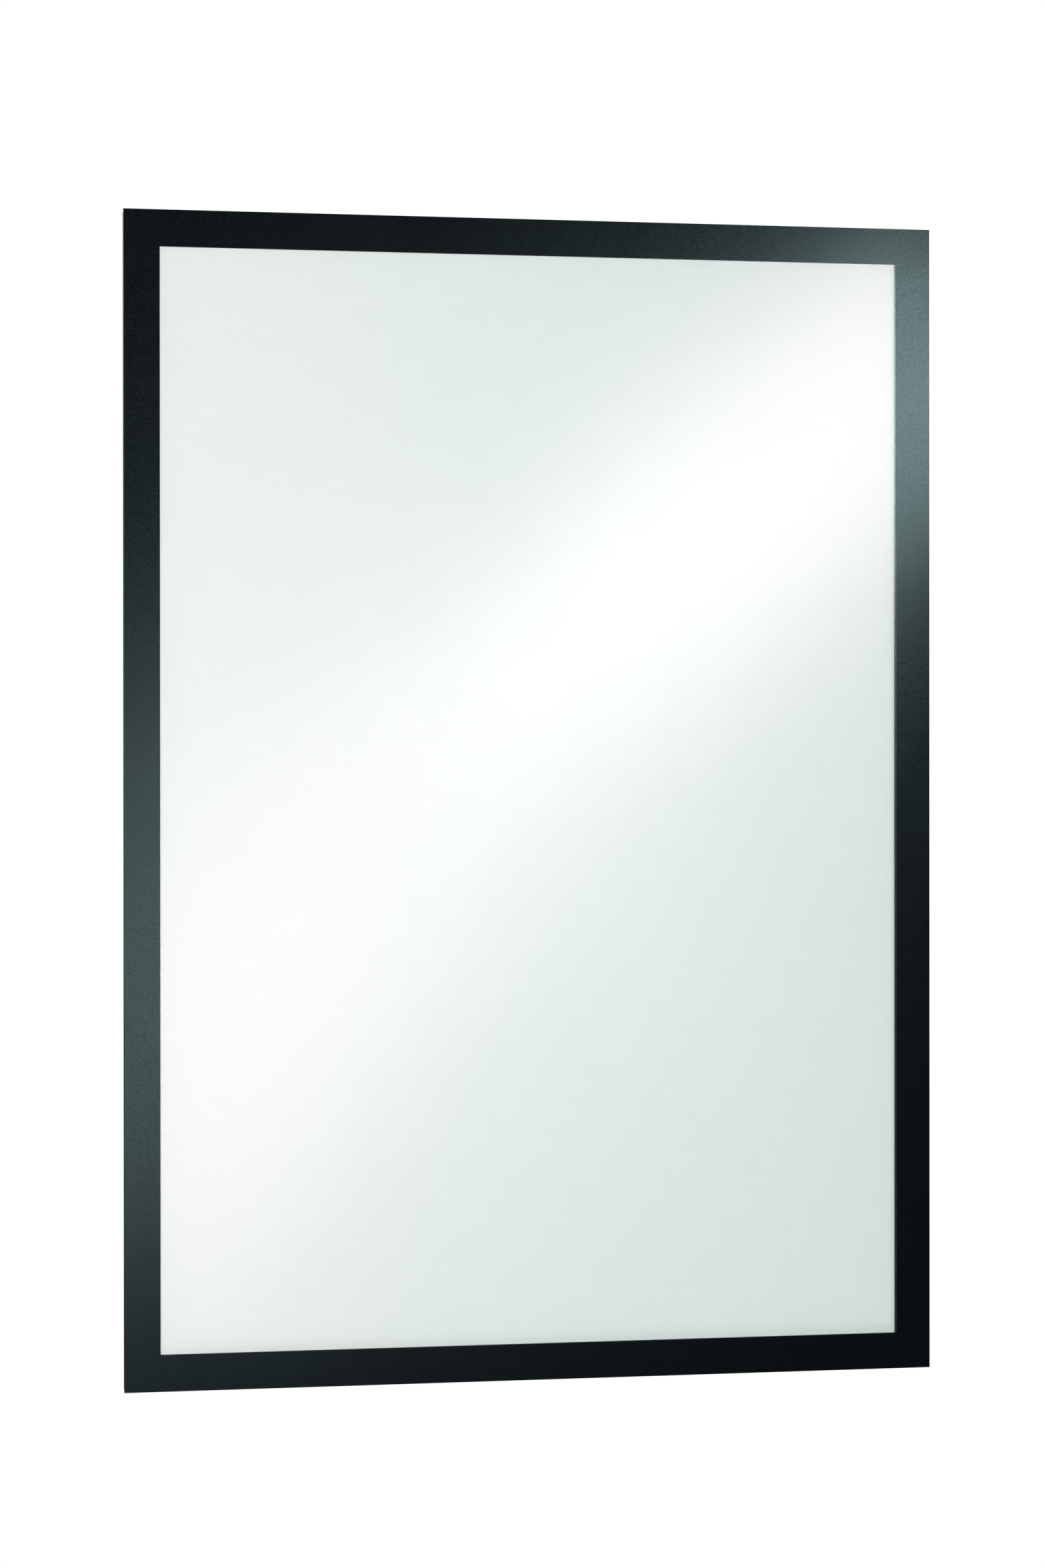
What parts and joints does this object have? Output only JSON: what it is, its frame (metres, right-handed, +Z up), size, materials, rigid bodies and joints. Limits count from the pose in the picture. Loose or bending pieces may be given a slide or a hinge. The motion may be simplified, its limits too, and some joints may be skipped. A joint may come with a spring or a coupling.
{
  "type": "poster pocket",
  "caption": "Flat self-adhesive wall pocket for a poster: clear front film with a black border, held shut by magnet strips and opening like a page on a tape hinge.",
  "frame": {"origin": "on the wall plane, in the middle of the pocket's back", "axes": "+Z up along the long sides, +X to the viewer's right, +Y from the front into the wall"},
  "size_m": [0.466, 0.0044, 0.64],
  "materials": {
    "adhesive_tape": "matte",
    "clear_back_film": "satin",
    "magnet_rubber": "matte",
    "white_paper": "matte",
    "black_tape": "matte",
    "black_film": "satin",
    "clear_window_film": "satin"
  },
  "bodies": {
    "back_leaf": {"adhesive_strip_left": "adhesive_tape", "adhesive_strip_right": "adhesive_tape", "adhesive_strip_top": "adhesive_tape", "adhesive_strip_bottom": "adhesive_tape", "back_film": "clear_back_film", "rear_magnet_left": "magnet_rubber", "rear_magnet_right": "magnet_rubber", "rear_magnet_top": "magnet_rubber", "rear_magnet_bottom": "magnet_rubber", "insert_sheet": "white_paper", "hinge_tape": "black_tape"},
    "front_leaf": {"front_magnet_left": "magnet_rubber", "front_magnet_right": "magnet_rubber", "front_magnet_top": "magnet_rubber", "front_magnet_bottom": "magnet_rubber", "border_mask": "black_film", "window_film": "clear_window_film"}
  },
  "joints": [
    {"name": "front_opening", "type": "hinge", "parent": "back_leaf", "child": "front_leaf", "pos_m": [-0.23285, -0.0023, 0], "axis": [0, 0, -1], "range_deg": [0, 170], "deforming": ["hinge_tape"]}
  ]
}
